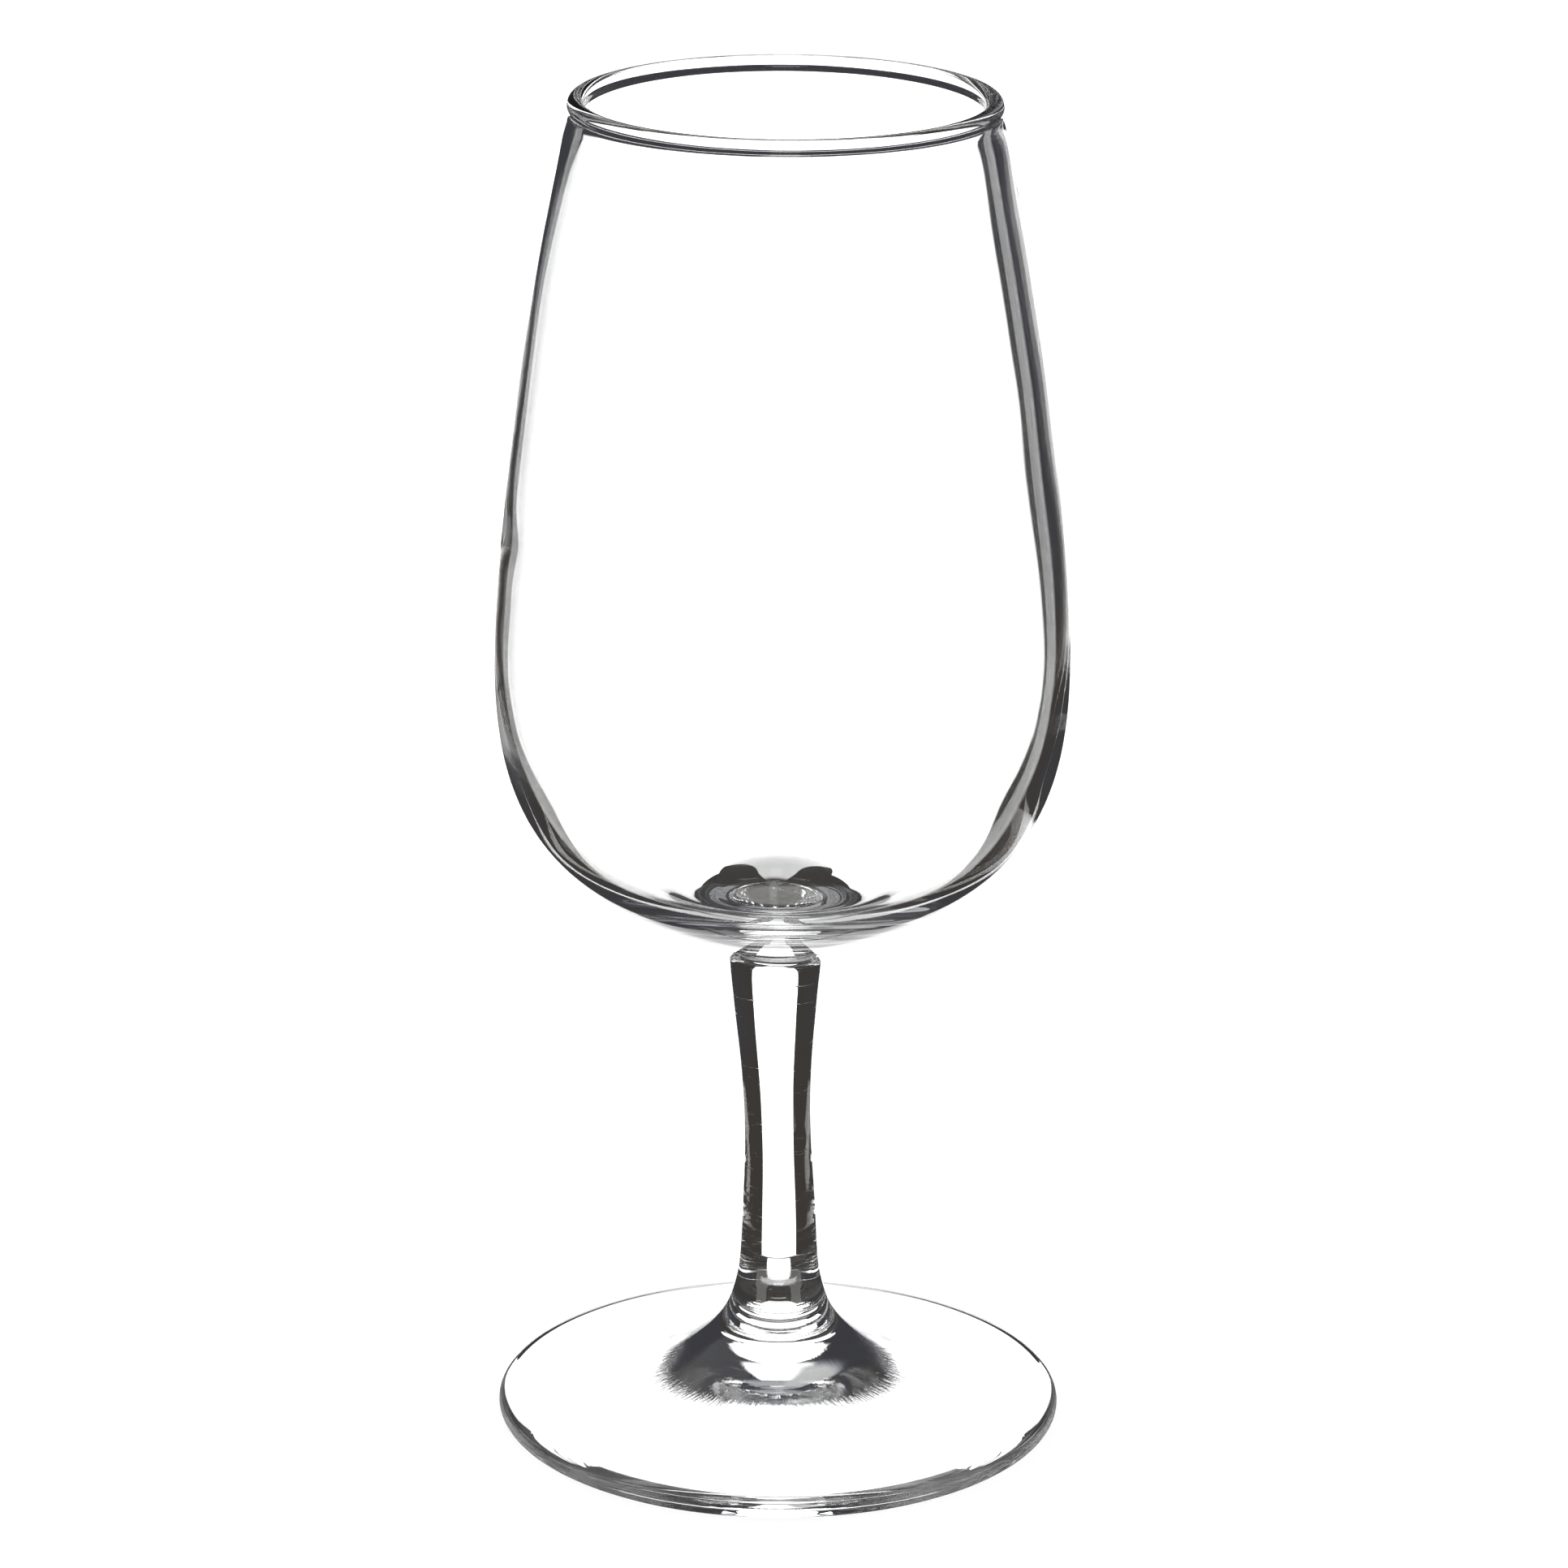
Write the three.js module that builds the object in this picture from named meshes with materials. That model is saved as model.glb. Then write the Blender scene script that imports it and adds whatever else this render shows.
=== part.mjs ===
// Port glass: a small stemmed glass of clear soda-lime glass.
// Three solids stand on one another along the Z axis and are fused face to face:
//   foot  - a shallow cone with a rounded edge, hollowed underneath into a low
//           cone, that sweeps up into a short boss
//   stem  - a solid waisted rod with a narrow ledge round its top
//   bowl  - a tulip-shaped cup, thickest at the bottom, with a beaded rim
// Millimetres, +Z up. The origin is on the table, under the axis of the glass.

import * as THREE from 'three';

// ---------------------------------------------------------------- dimensions

const TOTAL_HEIGHT = 130.0;      // table to the top of the rim bead
const SEGMENTS = 48;             // facets round the axis

// foot
const FOOT_RADIUS = 27.32;       // outermost edge
const FOOT_EDGE_ROUND = 0.92;    // radius of the rounded edge

// fused faces
const FOOT_WELD_Z = 12.2;        // foot boss meets the stem
const FOOT_WELD_RADIUS = 4.456;
const BOWL_WELD_Z = 46.5;        // stem meets the bowl
const BOWL_WELD_RADIUS = 3.96;

// rim bead
const BEAD_RADIUS = 0.81;        // half the thickness of the bead
const BEAD_CENTRE_RADIUS = 19.26;
const BEAD_CENTRE_Z = TOTAL_HEIGHT - BEAD_RADIUS;

// Hollow under the foot from the axis out to the flat resting ring, [radius, z].
const FOOT_UNDER = [
  [0, 3.10], [2.50, 3.07], [5.00, 2.94], [7.00, 2.68], [8.50, 2.40], [10.00, 2.11],
  [12.00, 1.77], [15.00, 1.28], [18.00, 0.81], [21.00, 0.36], [23.20, 0.06], [24.20, 0],
];

// Upper side of the foot from its rounded edge to the boss.
const FOOT_TOP = [
  [25.43, 2.04], [22.61, 2.42], [19.78, 2.82], [16.96, 3.24], [15.54, 3.48],
  [14.13, 3.79], [13.19, 4.06], [12.25, 4.43], [11.30, 4.90], [10.36, 5.46],
  [9.42, 6.11], [8.60, 6.72], [7.98, 7.21], [7.10, 7.94], [6.44, 8.59],
  [5.94, 9.18], [5.56, 9.70], [5.26, 10.20], [4.84, 11.04],
];

// Side of the stem between its two fused faces.
const STEM_SIDE = [
  [4.14, 13.39], [3.90, 14.75], [3.77, 16.12], [3.62, 18.84], [3.50, 21.55],
  [3.36, 24.26], [3.24, 26.95], [3.208, 29.65], [3.26, 32.33], [3.39, 35.01],
  [3.60, 37.67], [3.86, 40.33], [4.11, 42.98], [4.32, 45.10], [4.375, 45.95],
  [4.36, 46.15], [4.25, 46.35], [4.06, 46.45],
];

// Outside of the bowl from the fused face up to the notch under the bead.
const BOWL_OUTSIDE = [
  [3.98, 46.62], [4.10, 46.92], [4.38, 47.28], [4.80, 47.65], [5.35, 48.05],
  [6.05, 48.55], [6.80, 49.00], [7.60, 49.37], [8.60, 49.68], [9.70, 49.93],
  [12.28, 51.01], [15.57, 52.80], [19.28, 55.32], [22.06, 57.97], [23.99, 60.67],
  [25.33, 63.45], [26.24, 66.32], [26.80, 69.26], [27.10, 72.26], [27.21, 75.77],
  [27.00, 81.50], [26.49, 87.74], [25.82, 93.98], [25.05, 100.19], [24.18, 106.36],
  [23.19, 112.48], [22.07, 118.57], [20.82, 124.63], [20.16, 127.65], [19.985, 128.30],
];

// Inside of the bowl from under the bead down to the floor of the cup.
const BOWL_INSIDE = [
  [18.68, 128.30], [18.94, 127.33], [19.65, 124.38], [20.97, 118.36], [22.13, 112.30],
  [23.12, 106.20], [24.00, 100.05], [24.77, 93.86], [25.43, 87.64], [25.95, 81.44],
  [26.18, 75.78], [26.05, 72.33], [25.71, 69.42], [25.08, 66.61], [24.12, 63.93],
  [22.78, 61.38], [20.92, 58.95], [18.17, 56.67], [14.46, 54.64], [11.15, 53.41],
  [9.00, 53.25], [7.00, 53.27], [5.00, 53.45], [2.50, 53.68],
];
const CUP_FLOOR_Z = 53.76;       // the floor rises a little towards the axis

// ---------------------------------------------------------------- profiles

// Points of a circular arc in the [radius, z] half plane, angles in degrees.
function arc(centreRadius, centreZ, radius, fromDeg, toDeg, steps) {
  const points = [];
  for (let i = 0; i <= steps; i++) {
    const a = ((fromDeg + ((toDeg - fromDeg) * i) / steps) * Math.PI) / 180;
    points.push([centreRadius + radius * Math.cos(a), centreZ + radius * Math.sin(a)]);
  }
  return points;
}

const footProfile = [
  ...FOOT_UNDER,
  ...arc(FOOT_RADIUS - FOOT_EDGE_ROUND, FOOT_EDGE_ROUND, FOOT_EDGE_ROUND, -90, 78, 7),
  ...FOOT_TOP,
  [FOOT_WELD_RADIUS, FOOT_WELD_Z],
  [0, FOOT_WELD_Z],
];

const stemProfile = [
  [0, FOOT_WELD_Z],
  [FOOT_WELD_RADIUS, FOOT_WELD_Z],
  ...STEM_SIDE,
  [BOWL_WELD_RADIUS, BOWL_WELD_Z],
  [0, BOWL_WELD_Z],
];

const bowlProfile = [
  [0, BOWL_WELD_Z],
  [BOWL_WELD_RADIUS, BOWL_WELD_Z],
  ...BOWL_OUTSIDE,
  ...arc(BEAD_CENTRE_RADIUS, BEAD_CENTRE_Z, BEAD_RADIUS, -28, 208, 8),
  ...BOWL_INSIDE,
  [0, CUP_FLOOR_Z],
];

// ---------------------------------------------------------------- solids

// Turn a closed profile about the Z axis. The lathe turns about Y, so the
// vertices are carried over component by component: every point of one
// profile vertex keeps exactly that vertex's height.
function turned(profile) {
  const points = profile.map(([radius, z]) => new THREE.Vector2(radius, z));
  const geometry = new THREE.LatheGeometry(points, SEGMENTS);
  const position = geometry.getAttribute('position');
  for (let i = 0; i < position.count; i++) {
    const x = position.getX(i);
    const y = position.getY(i);
    const z = position.getZ(i);
    position.setXYZ(i, x, -z, y);
  }
  geometry.deleteAttribute('normal');
  geometry.computeVertexNormals();
  return geometry;
}

function clearGlass(colour) {
  return new THREE.MeshStandardMaterial({
    color: colour,
    roughness: 0.03,
    metalness: 0.0,
    transparent: true,
    opacity: 0.35,
  });
}

function piece(name, profile, colour) {
  const mesh = new THREE.Mesh(turned(profile), clearGlass(colour));
  mesh.name = name;
  return mesh;
}

const glass = new THREE.Group();
glass.name = 'port_glass';
glass.add(
  piece('foot', footProfile, 0xeef2f0),
  piece('stem', stemProfile, 0xe6ebe9),
  piece('bowl', bowlProfile, 0xf3f6f5),
);

export default glass;
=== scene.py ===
"""Port glass: looks of the bowl, stem and foot, all of clear glass, on a pale floor.

The three pieces are turned about the Z axis from one smooth profile, so that the outline and the
shading run on without a break across the two fused faces. Lengths below are in millimetres, and
the meshes are made in metres.
"""

import math

import bmesh
import bpy
import numpy as np
from mathutils import Matrix, Vector


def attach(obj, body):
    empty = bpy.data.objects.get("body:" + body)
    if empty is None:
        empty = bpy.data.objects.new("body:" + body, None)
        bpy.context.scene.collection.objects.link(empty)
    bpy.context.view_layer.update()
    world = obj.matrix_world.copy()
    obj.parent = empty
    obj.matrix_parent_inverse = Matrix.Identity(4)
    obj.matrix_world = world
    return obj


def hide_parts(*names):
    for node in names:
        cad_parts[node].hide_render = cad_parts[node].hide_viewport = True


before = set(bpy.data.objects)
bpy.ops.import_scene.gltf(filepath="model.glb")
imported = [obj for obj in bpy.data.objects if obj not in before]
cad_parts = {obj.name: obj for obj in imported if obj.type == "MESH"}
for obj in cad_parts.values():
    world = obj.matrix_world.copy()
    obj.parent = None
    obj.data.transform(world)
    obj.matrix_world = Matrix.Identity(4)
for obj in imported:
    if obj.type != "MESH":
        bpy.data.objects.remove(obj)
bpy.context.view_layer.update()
scene = bpy.context.scene

# ------------------------------------------------------------------ profile
# Each list runs along the surface as [radius, z]: under the foot, round its edge, up the foot,
# the stem and the outside of the bowl, over the rim bead and down the inside to the cup's floor.

FOOT_RADIUS, FOOT_ROUND = 27.32, 0.92
FOOT_WELD = (4.456, 12.2)
BOWL_WELD = (3.96, 46.50)
BEAD_RADIUS, BEAD_R, BEAD_Z = 0.81, 19.26, 129.19

FOOT_UNDER = [
    (0.0, 3.1), (2.5, 3.07), (5.0, 2.94), (7.0, 2.68), (8.5, 2.4), (10.0, 2.11), (12.0, 1.77),
    (15.0, 1.28), (18.0, 0.81), (21.0, 0.36), (23.2, 0.06), (24.2, 0.0),
]
FOOT_TOP = [
    (25.43, 2.04), (22.61, 2.42), (19.78, 2.82), (16.96, 3.24), (15.54, 3.48),
    (14.13, 3.79), (13.19, 4.06), (12.25, 4.43), (11.30, 4.90), (10.36, 5.46),
    (9.42, 6.11), (8.60, 6.72), (7.98, 7.21), (7.10, 7.94), (6.44, 8.59),
    (5.94, 9.18), (5.56, 9.70), (5.26, 10.20), (4.84, 11.04),
]
STEM_SIDE = [
    (4.14, 13.39), (3.9, 14.75), (3.77, 16.12), (3.62, 18.84), (3.5, 21.55),
    (3.36, 24.26), (3.24, 26.95), (3.208, 29.65), (3.26, 32.33), (3.39, 35.01),
    (3.6, 37.67), (3.86, 40.33), (4.11, 42.98), (4.32, 45.1), (4.375, 45.95),
    (4.36, 46.15), (4.25, 46.35), (4.06, 46.45),
]
BOWL_OUTSIDE = [
    (3.98, 46.62), (4.1, 46.92), (4.38, 47.28), (4.8, 47.65), (5.35, 48.05),
    (6.05, 48.55), (6.8, 49), (7.6, 49.37), (8.6, 49.68), (9.7, 49.93),
    (12.28, 51.01), (15.57, 52.8), (19.28, 55.32), (22.06, 57.97), (23.99, 60.67),
    (25.33, 63.45), (26.24, 66.32), (26.8, 69.26), (27.1, 72.26), (27.21, 75.77),
    (27, 81.5), (26.49, 87.74), (25.82, 93.98), (25.05, 100.19), (24.18, 106.36),
    (23.19, 112.48), (22.07, 118.57), (20.82, 124.63), (20.16, 127.65), (19.985, 128.3),
]
BOWL_INSIDE = [
    (18.68, 128.3), (18.94, 127.33), (19.65, 124.38), (20.97, 118.36), (22.13, 112.3),
    (23.12, 106.2), (24, 100.05), (24.77, 93.86), (25.43, 87.64), (25.95, 81.44),
    (26.18, 75.78), (26.05, 72.33), (25.71, 69.42), (25.08, 66.61), (24.12, 63.93),
    (22.78, 61.38), (20.92, 58.95), (18.17, 56.67), (14.46, 54.64), (11.15, 53.41),
    (9, 53.25), (7, 53.27), (5, 53.45), (2.5, 53.68), (0, 53.76),
]


def arc(r0, z0, radius, a0, a1, steps):
    return [
        (r0 + radius * math.cos(math.radians(a)), z0 + radius * math.sin(math.radians(a)))
        for a in np.linspace(a0, a1, steps + 1)
    ]


def spline(points):
    """A natural cubic spline through points, by chord length: (lengths, second derivatives)."""
    p = np.array(points, float)
    t = np.r_[0, np.cumsum(np.hypot(*np.diff(p, axis=0).T))]
    h = np.diff(t)
    n = len(p)
    a, b = np.zeros((n, n)), np.zeros((n, 2))
    a[0, 0] = a[-1, -1] = 1
    for i in range(1, n - 1):
        a[i, i - 1 : i + 2] = h[i - 1], 2 * (h[i - 1] + h[i]), h[i]
        b[i] = 6 * ((p[i + 1] - p[i]) / h[i] - (p[i] - p[i - 1]) / h[i - 1])
    return p, t, h, np.linalg.solve(a, b)


def sample(points, step):
    """Points along the spline, at most step apart and with every given point kept, and which
    of them each given point became."""
    p, t, h, m = spline(points)
    out, at = [p[0]], [0]
    for i in range(len(h)):
        n = max(2, math.ceil(h[i] / step))
        for u in np.linspace(0, 1, n + 1)[1:]:
            x, y = u * h[i], (1 - u) * h[i]
            out.append(
                (m[i] * y**3 + m[i + 1] * x**3) / (6 * h[i])
                + (p[i] / h[i] - m[i] * h[i] / 6) * y
                + (p[i + 1] / h[i] - m[i + 1] * h[i] / 6) * x
            )
        at.append(len(out) - 1)
    return np.array(out), at


edge = arc(FOOT_RADIUS - FOOT_ROUND, FOOT_ROUND, FOOT_ROUND, -90, 78, 9)
bead = arc(BEAD_R, BEAD_Z, BEAD_RADIUS, -28, 208, 12)
side = (
    edge + FOOT_TOP + [FOOT_WELD] + STEM_SIDE + [BOWL_WELD] + BOWL_OUTSIDE + bead + BOWL_INSIDE
)
curve, at = sample(side, 0.75)
i_foot = at[len(edge) + len(FOOT_TOP)]
i_bowl = at[len(edge) + len(FOOT_TOP) + 1 + len(STEM_SIDE)]
i_rim = at[len(edge) + len(FOOT_TOP) + 2 + len(STEM_SIDE) + len(BOWL_OUTSIDE) + len(bead) - 1]

under, _ = sample(FOOT_UNDER, 0.9)
ring = np.c_[np.linspace(FOOT_UNDER[-1][0], FOOT_RADIUS - FOOT_ROUND, 5)[1:-1], np.zeros(3)]
skip = len(under) + len(ring)
curve = np.r_[under, ring, curve]
curve[0, 0] = curve[-1, 0] = 0.0
i_foot, i_bowl, i_rim = i_foot + skip, i_bowl + skip, i_rim + skip

# ------------------------------------------------------------------ surface

SEGMENTS = 160
azimuth = np.arange(SEGMENTS) * 2 * math.pi / SEGMENTS

r = np.repeat(curve[:, :1], SEGMENTS, 1)
z = np.repeat(curve[:, 1:], SEGMENTS, 1)
a = np.repeat(azimuth[None, :], len(curve), 0)

# The glass is worked hot and isn't quite even: one side of the bowl's wall is thicker, the inside
# of the wall is slightly wavy, and the weld under the bowl is a little out of square and off centre.
THICK_SIDE = math.radians(225)
WELD_HIGH = math.radians(117)
WELD_OFF = math.radians(45)
WALL_Z = [54.0, 58.0, 62.0, 66.0, 72.0, 78.0, 84.0, 90.0, 96.0, 102.0, 108.0, 114.0, 120.0, 124.0, 128.3]
WALL_THICK = [0.0, 0.2, 0.38, 0.48, 0.42, 0.32, 0.34, 0.42, 0.47, 0.48, 0.48, 0.46, 0.4, 0.31, 0.16]
WALL_THIN = [0.0, 0.03, 0.08, 0.08, 0.0, -0.06, -0.11, -0.21, -0.25, -0.27, -0.28, -0.25, -0.18, -0.1, 0.0]


def smooth(x, lo, hi):
    t = np.clip((x - lo) / (hi - lo), 0, 1)
    return t * t * (3 - 2 * t)


tangent = np.gradient(curve, axis=0)
tangent /= np.linalg.norm(tangent, axis=1, keepdims=True)
rows = np.arange(len(curve))[:, None]
i_top = int(np.argmax(curve[:, 1]))
wall = smooth((rows - i_top) / (i_rim - i_top), 0.15, 1.0) * smooth(z, 53.6, 58.0)
side_of = np.cos(a - THICK_SIDE)


def even(values):
    """The thicknesses at WALL_Z as a smooth curve over the height."""
    line, _ = sample(list(zip(WALL_Z, values)), 0.5)
    return np.interp(z, line[:, 0], line[:, 1])


more = even(WALL_THICK) * (1 + side_of) / 2 + even(WALL_THIN) * (1 - side_of) / 2
more += 0.008 * np.sin(z / 2.7 + 2.1 * np.sin(a + 0.7)) + 0.006 * np.sin(5 * a + z / 6)
more += 0.06 * np.exp(-(((z - 88.2) / 3.0) ** 2)) * smooth(-side_of, 0.7, 1.0)
r += tangent[:, 1:] * more * wall
z -= tangent[:, :1] * more * wall

outer = rows <= i_bowl + 60
weld = outer * np.exp(-(((z - 46.6) / 1.1) ** 2))
z += 0.52 * weld * np.cos(a - WELD_HIGH)
off = outer * np.where(rows <= i_bowl, smooth(z, 18.0, 45.0), smooth(r, 9.5, 4.2))
surface = np.stack(
    [
        r * np.cos(a) + 0.5 * off * math.cos(WELD_OFF),
        r * np.sin(a) + 0.5 * off * math.sin(WELD_OFF),
        z,
    ],
    -1,
) / 1000.0


def surface_normals(p):
    """Outward normals of the whole turned surface, from its own neighbouring points."""
    along = np.gradient(p, axis=0)
    # the arms of a neighbour pair differ in length where the sampling changes
    step = np.linalg.norm(np.diff(p, axis=0), axis=-1)[..., None]
    step = np.maximum(step, 1e-9)
    d = np.diff(p, axis=0) / step
    along[1:-1] = (d[:-1] * step[1:] + d[1:] * step[:-1]) / (step[:-1] + step[1:])
    along[0], along[-1] = d[0], d[-1]
    around = np.roll(p, -1, 1) - np.roll(p, 1, 1)
    n = np.cross(around, along)
    n[0], n[-1] = (0, 0, -1), (0, 0, 1)
    return n / np.maximum(np.linalg.norm(n, axis=-1, keepdims=True), 1e-12)


normals = surface_normals(surface)


def build(name, first, last, cap_low, cap_high):
    """One closed piece from the rows first..last of the surface. An end on the axis closes to a
    point, and an end at a fused face is closed by a flat disc."""
    verts, vnorm, rows = [], [], []
    for i in range(first, last + 1):
        if curve[i, 0] < 1e-6:
            rows.append([len(verts)] * SEGMENTS)
            verts.append(tuple(surface[i, 0]))
            vnorm.append(tuple(normals[i, 0]))
        else:
            rows.append(list(range(len(verts), len(verts) + SEGMENTS)))
            verts += [tuple(x) for x in surface[i]]
            vnorm += [tuple(x) for x in normals[i]]
    faces, loops, slots = [], [], []
    for low, high in zip(rows, rows[1:]):
        for j in range(SEGMENTS):
            k = (j + 1) % SEGMENTS
            f = [low[j], low[k], high[k], high[j]]
            f = [v for n, v in enumerate(f) if v not in f[:n]]
            faces.append(f)
            loops += [vnorm[v] for v in f]
            slots.append(0)
    for row, down, wanted in ((rows[0], True, cap_low), (rows[-1], False, cap_high)):
        if wanted:
            centre = len(verts)
            verts.append(tuple(np.mean([verts[v] for v in row], 0)))
            for j in range(SEGMENTS):
                k = (j + 1) % SEGMENTS
                faces.append([centre, row[k], row[j]] if down else [centre, row[j], row[k]])
                loops += [(0, 0, -1.0 if down else 1.0)] * 3
                slots.append(1)
    mesh = bpy.data.meshes.new(name)
    mesh.from_pydata(verts, [], faces)
    mesh.polygons.foreach_set("material_index", slots)
    mesh.polygons.foreach_set("use_smooth", [True] * len(faces))
    mesh.update()
    mesh.normals_split_custom_set(loops)
    obj = bpy.data.objects.new(name, mesh)
    scene.collection.objects.link(obj)
    return obj


foot = build("glass_foot", 0, i_foot, False, True)
stem = build("glass_stem", i_foot, i_bowl, True, True)
bowl = build("glass_bowl", i_bowl, len(curve) - 1, True, False)

# ------------------------------------------------------------------ materials


def new_material(name):
    mat = bpy.data.materials.new(name)
    mat.use_nodes = True
    mat.node_tree.nodes.clear()
    return mat, mat.node_tree.nodes, mat.node_tree.links


class Maths:
    """Short names for node arithmetic in one node tree."""

    def __init__(self, tree):
        self.nodes, self.links = tree.nodes, tree.links

    def put(self, socket, value):
        if isinstance(value, (int, float)):
            socket.default_value = value
        else:
            self.links.new(value, socket)

    def do(self, op, *args):
        n = self.nodes.new("ShaderNodeMath")
        n.operation = op
        for s, v in zip(n.inputs, args):
            self.put(s, v)
        return n.outputs[0]

    def ramp(self, x, a, b, lo=0.0, hi=1.0):
        """lo below a, hi above b, smooth between."""
        n = self.nodes.new("ShaderNodeMapRange")
        n.interpolation_type = "SMOOTHSTEP"
        for s, v in zip(n.inputs, (x, a, b, lo, hi)):
            self.put(s, v)
        return n.outputs[0]

    def mix(self, f, a, b):
        return self.do("ADD", self.do("MULTIPLY", a, self.do("SUBTRACT", 1.0, f)), self.do("MULTIPLY", b, f))

    def inside(self, x, lo, hi, soft):
        """1 between lo and hi, 0 outside."""
        return self.do("MULTIPLY", self.ramp(x, lo - soft, lo + soft), self.ramp(x, hi - soft, hi + soft, 1.0, 0.0))


def noise(m, where, scale, detail):
    n = m.nodes.new("ShaderNodeTexNoise")
    n.inputs["Scale"].default_value = scale
    n.inputs["Detail"].default_value = detail
    m.links.new(where, n.inputs["Vector"])
    return n.outputs["Fac"]


def stretched(m, where, x, y, z):
    n = m.nodes.new("ShaderNodeVectorMath")
    n.operation = "MULTIPLY"
    n.inputs[1].default_value = (x, y, z)
    m.links.new(where, n.inputs[0])
    return n.outputs[0]


def glass_material(name, kind):
    """Clear glass. The bowl has faint drawn streaks, the stem short marks left by the mould, and
    the foot fine spokes round its boss."""
    mat, nodes, links = new_material(name)
    m = Maths(mat.node_tree)
    where = nodes.new("ShaderNodeTexCoord").outputs["Object"]
    out = nodes.new("ShaderNodeOutputMaterial")
    p = nodes.new("ShaderNodeBsdfPrincipled")
    p.inputs["Transmission Weight"].default_value = 1.0
    p.inputs["IOR"].default_value = 1.52

    # tint: a breath of grey-green that drifts through the glass
    tint = nodes.new("ShaderNodeMix")
    tint.data_type = "RGBA"
    tint.inputs["A"].default_value = (0.988, 0.994, 0.991, 1)
    tint.inputs["B"].default_value = (0.996, 0.997, 0.996, 1)
    links.new(noise(m, where, 90.0, 2.0), tint.inputs["Factor"])
    links.new(tint.outputs["Result"], p.inputs["Base Color"])

    # polish: nearly perfect, with hazier specks
    specks = m.ramp(noise(m, where, 2600.0, 1.0), 0.76, 0.8)
    rough = m.do("ADD", m.do("MULTIPLY", noise(m, where, 240.0, 3.0), 0.002), m.do("MULTIPLY", specks, 0.06))

    xyz = nodes.new("ShaderNodeSeparateXYZ")
    links.new(where, xyz.inputs[0])
    x, y, z = xyz.outputs
    if kind == "bowl":
        height = noise(m, stretched(m, where, 1.0, 1.0, 0.12), 420.0, 2.0)
        depth = 0.0000013
    elif kind == "stem":
        marks = m.ramp(noise(m, stretched(m, where, 1.0, 1.0, 9.0), 420.0, 1.0), 0.7, 0.735)
        rough = m.do("ADD", rough, m.do("MULTIPLY", marks, 0.3))
        height = m.do("ADD", noise(m, stretched(m, where, 1.0, 1.0, 3.0), 500.0, 2.0), m.do("MULTIPLY", marks, 1.5))
        depth = 0.000003
    else:
        turn = nodes.new("ShaderNodeCombineXYZ")
        angle = m.do("ARCTAN2", y, x)
        far = m.do("SQRT", m.do("ADD", m.do("MULTIPLY", x, x), m.do("MULTIPLY", y, y)))
        m.put(turn.inputs[0], m.do("MULTIPLY", m.do("COSINE", angle), 9.0))
        m.put(turn.inputs[1], m.do("MULTIPLY", m.do("SINE", angle), 9.0))
        m.put(turn.inputs[2], m.do("MULTIPLY", far, 120.0))
        spokes = noise(m, turn.outputs[0], 4.0, 3.0)
        near_boss = m.do("MULTIPLY", m.ramp(far, 0.006, 0.009), m.ramp(far, 0.012, 0.016, 1.0, 0.0))
        height = m.do("ADD", m.do("MULTIPLY", spokes, near_boss), m.do("MULTIPLY", noise(m, where, 300.0, 2.0), 0.12))
        depth = 0.000012
    links.new(rough, p.inputs["Roughness"])
    bump = nodes.new("ShaderNodeBump")
    bump.inputs["Strength"].default_value = 1.0
    bump.inputs["Distance"].default_value = depth
    links.new(height, bump.inputs["Height"])
    links.new(bump.outputs[0], p.inputs["Normal"])

    # light on its way to the floor goes straight through, as it does in clear glass
    clear = nodes.new("ShaderNodeBsdfTransparent")
    clear.inputs["Color"].default_value = (0.97, 0.975, 0.973, 1)
    path = nodes.new("ShaderNodeLightPath")
    to_floor = m.do("MAXIMUM", path.outputs["Is Shadow Ray"], path.outputs["Is Diffuse Ray"])
    mix = nodes.new("ShaderNodeMixShader")
    links.new(to_floor, mix.inputs[0])
    links.new(p.outputs[0], mix.inputs[1])
    links.new(clear.outputs[0], mix.inputs[2])
    links.new(mix.outputs[0], out.inputs["Surface"])
    return mat


def seam_material():
    """The fused face inside the glass: clear, with a trace of cloud."""
    mat, nodes, links = new_material("fused_face")
    m = Maths(mat.node_tree)
    where = nodes.new("ShaderNodeTexCoord").outputs["Object"]
    out = nodes.new("ShaderNodeOutputMaterial")
    clear = nodes.new("ShaderNodeBsdfTransparent")
    cloud = nodes.new("ShaderNodeMix")
    cloud.data_type = "RGBA"
    cloud.inputs["A"].default_value = (0.97, 0.98, 0.978, 1)
    cloud.inputs["B"].default_value = (1, 1, 1, 1)
    links.new(noise(m, where, 700.0, 3.0), cloud.inputs["Factor"])
    links.new(cloud.outputs["Result"], clear.inputs["Color"])
    links.new(clear.outputs[0], out.inputs["Surface"])
    return mat


seam = seam_material()
for piece, kind in ((foot, "foot"), (stem, "stem"), (bowl, "bowl")):
    piece.data.materials.append(glass_material("clear_glass_" + kind, kind))
    piece.data.materials.append(seam)

# ------------------------------------------------------------------ camera

# The set is laid out in its own frame: the camera looks along +Y of it, with +X to the right.
SET = Matrix.Rotation(math.radians(225), 4, "Z")

PITCH = 18.07
cam_data = bpy.data.cameras.new("camera")
cam = bpy.data.objects.new("camera", cam_data)
scene.collection.objects.link(cam)
cam.matrix_world = (
    SET
    @ Matrix.Translation((0.0, -0.54355, 0.24116))
    @ Matrix.Rotation(math.radians(90 - PITCH), 4, "X")
    @ Matrix.Rotation(math.radians(0.34), 4, "Z")
)
cam_data.lens = 36.0 * 7431 / 1932
cam_data.sensor_width = 36.0
cam_data.shift_x = 0.0015
cam_data.clip_start, cam_data.clip_end = 0.01, 100
scene.camera = cam

# ------------------------------------------------------------------ floor and light

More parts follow.
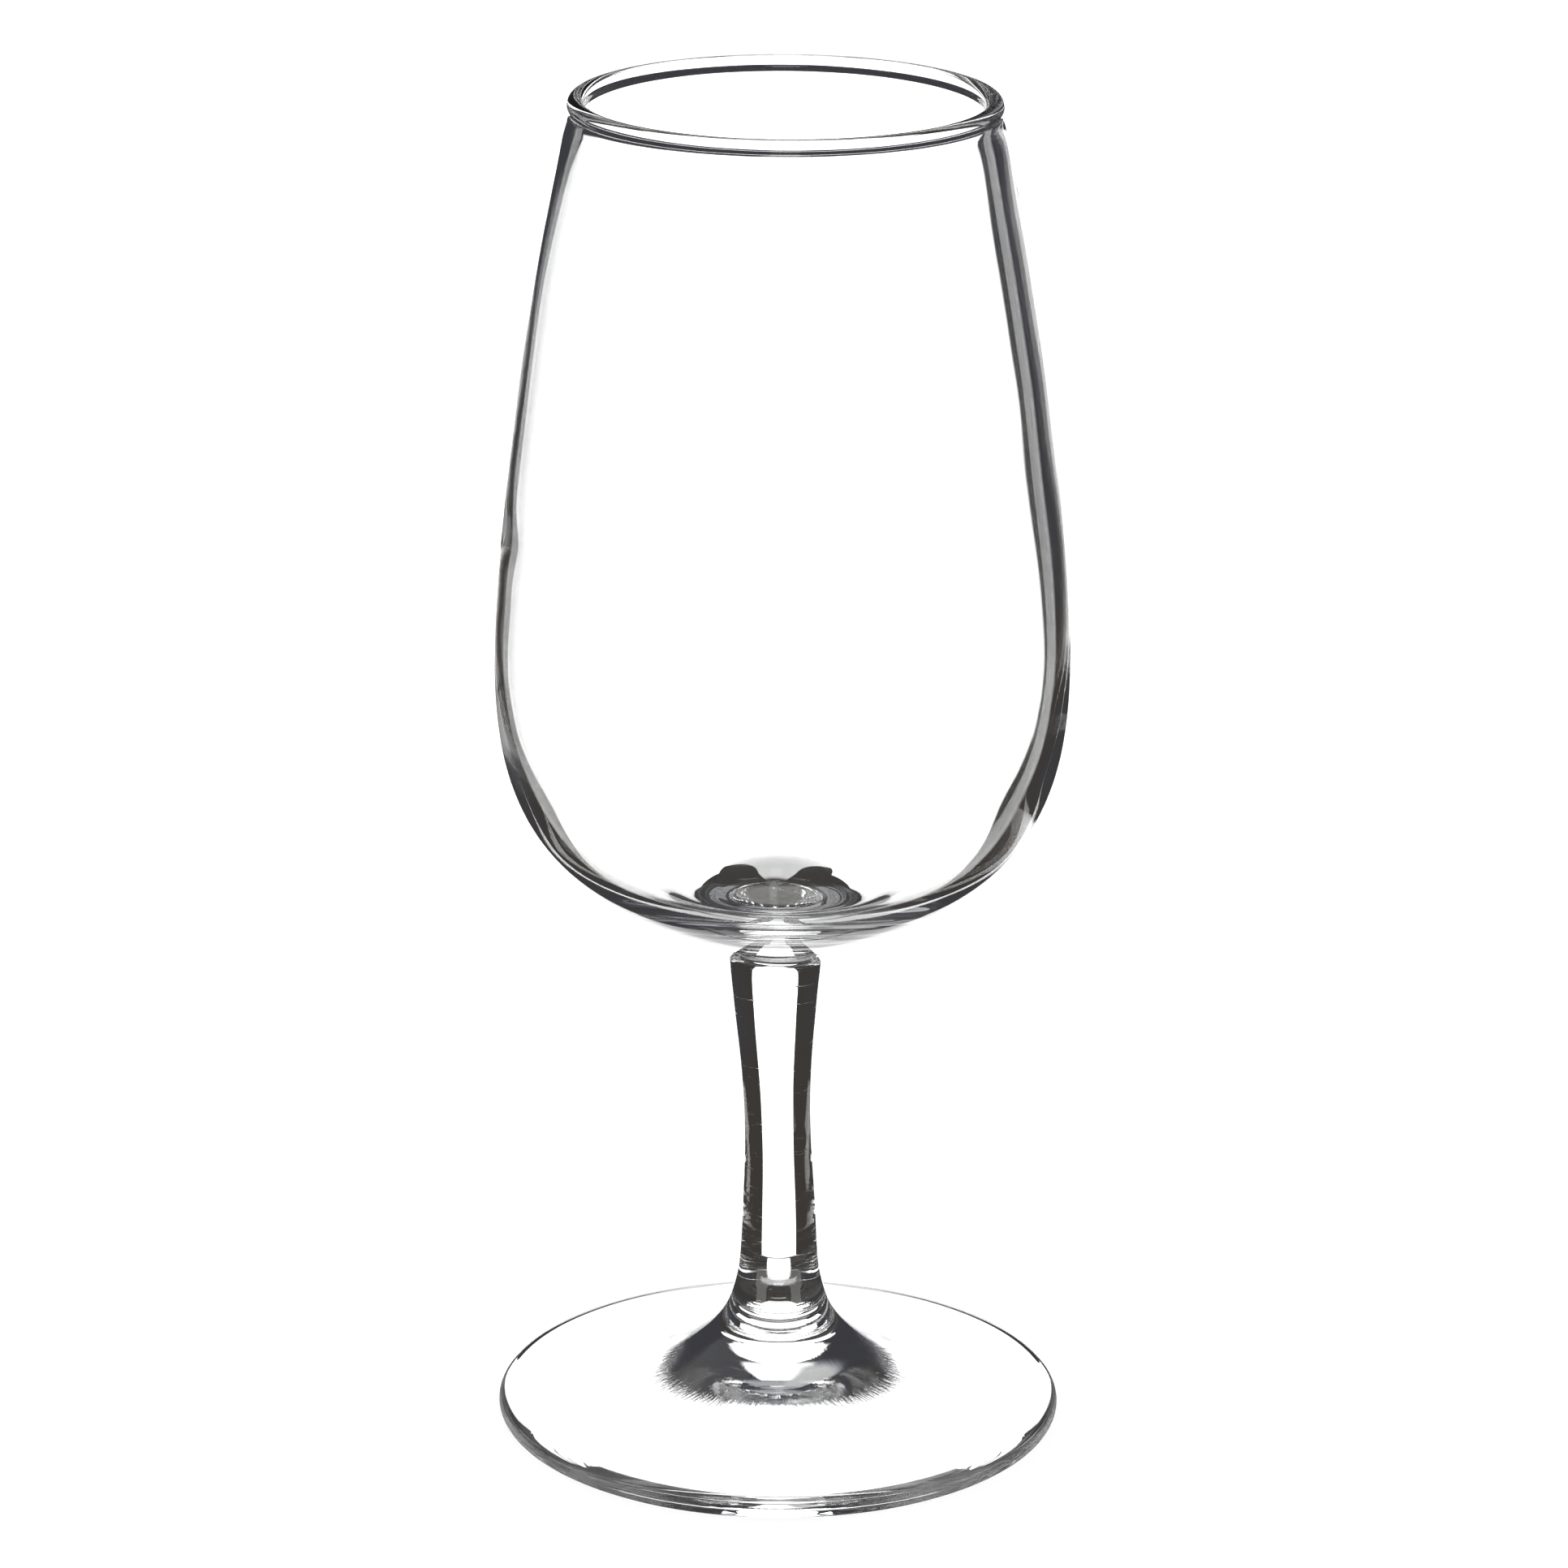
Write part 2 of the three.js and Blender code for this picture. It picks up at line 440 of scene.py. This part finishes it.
floor_mesh = bpy.data.meshes.new("floor")
n = 96
floor_mesh.from_pydata(
    [(3.4 * math.cos(2 * math.pi * i / n), 3.4 * math.sin(2 * math.pi * i / n), 0) for i in range(n)],
    [],
    [list(range(n))],
)
floor = bpy.data.objects.new("floor", floor_mesh)
scene.collection.objects.link(floor)
mat, nodes, links = new_material("floor_pale")
out = nodes.new("ShaderNodeOutputMaterial")
d = nodes.new("ShaderNodeBsdfDiffuse")
d.inputs["Color"].default_value = (0.93, 0.93, 0.93, 1)
links.new(d.outputs[0], out.inputs["Surface"])
floor_mesh.materials.append(mat)
floor.visible_transmission = floor.visible_glossy = False


def light_only(obj):
    """Part of the studio light: the glass reflects and refracts it, and the floor and the camera
    don't meet it."""
    obj.visible_camera = obj.visible_diffuse = obj.visible_shadow = False
    obj.visible_volume_scatter = False
    for mat in obj.data.materials:
        mat.cycles.emission_sampling = "NONE"


WHITE, DARK = 2.0, 0.047


def glow(name):
    mat, nodes, links = new_material(name)
    out = nodes.new("ShaderNodeOutputMaterial")
    em = nodes.new("ShaderNodeEmission")
    links.new(em.outputs[0], out.inputs["Surface"])
    co = nodes.new("ShaderNodeTexCoord")
    return mat, nodes, links, em, co.outputs["Object"]


def tent():
    """The dark tent round the set, with the soft windows that light the glass from behind when it
    is seen from the other sides."""
    mesh = bpy.data.meshes.new("light_tent")
    bm = bmesh.new()
    bmesh.ops.create_uvsphere(bm, u_segments=48, v_segments=24, radius=4.0)
    bm.to_mesh(mesh)
    bm.free()
    obj = bpy.data.objects.new("light_tent", mesh)
    obj.matrix_world = SET @ Matrix.Translation((0, 0, 0.065))
    scene.collection.objects.link(obj)
    mat, nodes, links, em, where = glow("light_tent")
    unit = nodes.new("ShaderNodeVectorMath")
    unit.operation = "NORMALIZE"
    links.new(where, unit.inputs[0])
    xyz = nodes.new("ShaderNodeSeparateXYZ")
    links.new(unit.outputs[0], xyz.inputs[0])
    m = Maths(mat.node_tree)
    deg = 180 / math.pi
    az = m.do("MULTIPLY", m.do("ARCTAN2", xyz.outputs[0], xyz.outputs[1]), deg)
    el = m.do("MULTIPLY", m.do("ARCSINE", xyz.outputs[2]), deg)
    level = m.ramp(el, 46.0, 60.0, DARK, 0.42)
    field = m.do("MULTIPLY", m.ramp(m.do("ABSOLUTE", az), 13.7, 14.7, 1.0, 0.0), m.do("MULTIPLY", m.ramp(el, -62.0, -56.0), m.ramp(el, -4.7, -2.9, 1.0, 0.0)))
    level = m.mix(field, level, m.ramp(el, -56.0, -26.0, 0.85, WHITE))
    level = m.mix(m.do("MULTIPLY", m.inside(az, -15.0, 15.0, 2.0), m.inside(el, 28.0, 52.0, 2.0)), level, WHITE)
    level = m.mix(m.do("MULTIPLY", m.inside(az, -95.0, -9.0, 5.0), m.inside(el, 29.0, 70.0, 4.0)), level, 0.55)
    for look, wide, top, stem_top, bottom in ((180, 8.5, -12, -27.0, -42), (135, 20.0, 9, -3.6, -14), (-135, 20.0, 9, -3.6, -14)):
        away = m.do("SUBTRACT", 180.0, m.do("ABSOLUTE", m.do("SUBTRACT", m.do("ABSOLUTE", m.do("SUBTRACT", az, float(look))), 180.0)))
        half = m.ramp(el, stem_top - 3.0, stem_top + 3.0, wide, 13.0)
        window = m.do(
            "MULTIPLY",
            m.ramp(m.do("SUBTRACT", away, half), -0.5, 0.5, 1.0, 0.0),
            m.inside(el, bottom, top, 1.5),
        )
        level = m.mix(window, level, WHITE)
    links.new(level, em.inputs["Strength"])
    tone = nodes.new("ShaderNodeMix")
    tone.data_type = "RGBA"
    tone.inputs["A"].default_value = (0.95, 0.86, 0.76, 1)
    tone.inputs["B"].default_value = (0.95, 0.96, 1.1, 1)
    links.new(m.ramp(el, -16.0, -8.0), tone.inputs["Factor"])
    plain = nodes.new("ShaderNodeMix")
    plain.data_type = "RGBA"
    links.new(m.ramp(level, 0.2, 0.5), plain.inputs["Factor"])
    links.new(tone.outputs["Result"], plain.inputs["A"])
    plain.inputs["B"].default_value = (1, 1, 1, 1)
    links.new(plain.outputs["Result"], em.inputs["Color"])
    mesh.materials.append(mat)
    light_only(obj)


BOARD_LOW = [(62, 11), (57, -18), (56, -80)]


def board():
    """The white boards behind the foot: a small oval, and a wider one further back and lower."""
    mesh = bpy.data.meshes.new("light_board")
    n = 48
    oval = [(0.015 * math.cos(2 * math.pi * i / n), 0, 0.021 + 0.017 * math.sin(2 * math.pi * i / n)) for i in range(n)]
    low = [(x / 1000, 0.09, z / 1000) for x, z in BOARD_LOW + [(-x, z) for x, z in BOARD_LOW[::-1]]]
    mesh.from_pydata(oval + low, [], [list(range(n)), list(range(n, n + len(low)))])
    obj = bpy.data.objects.new("light_board", mesh)
    obj.matrix_world = SET @ Matrix.Translation((0, 0.060, 0))
    scene.collection.objects.link(obj)
    mat, nodes, links, em, where = glow("light_board")
    em.inputs["Strength"].default_value = WHITE
    mesh.materials.append(mat)
    light_only(obj)


tent()
board()

world = bpy.data.worlds.new("studio")
scene.world = world
world.use_nodes = True
world.node_tree.nodes["Background"].inputs["Color"].default_value = (1, 1, 1, 1)
world.node_tree.nodes["Background"].inputs["Strength"].default_value = 1.1

scene.view_settings.view_transform = "Standard"
scene.view_settings.look = "None"
scene.cycles.max_bounces = 96
scene.cycles.transmission_bounces = 96
scene.cycles.glossy_bounces = 96
scene.cycles.transparent_max_bounces = 32
scene.cycles.caustics_reflective = scene.cycles.caustics_refractive = False
scene.cycles.blur_glossy = 0.0
scene.cycles.use_denoising = True

# ------------------------------------------------------------------ hand over

for piece, node in ((foot, "foot"), (stem, "stem"), (bowl, "bowl")):
    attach(piece, "root")
    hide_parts(node)
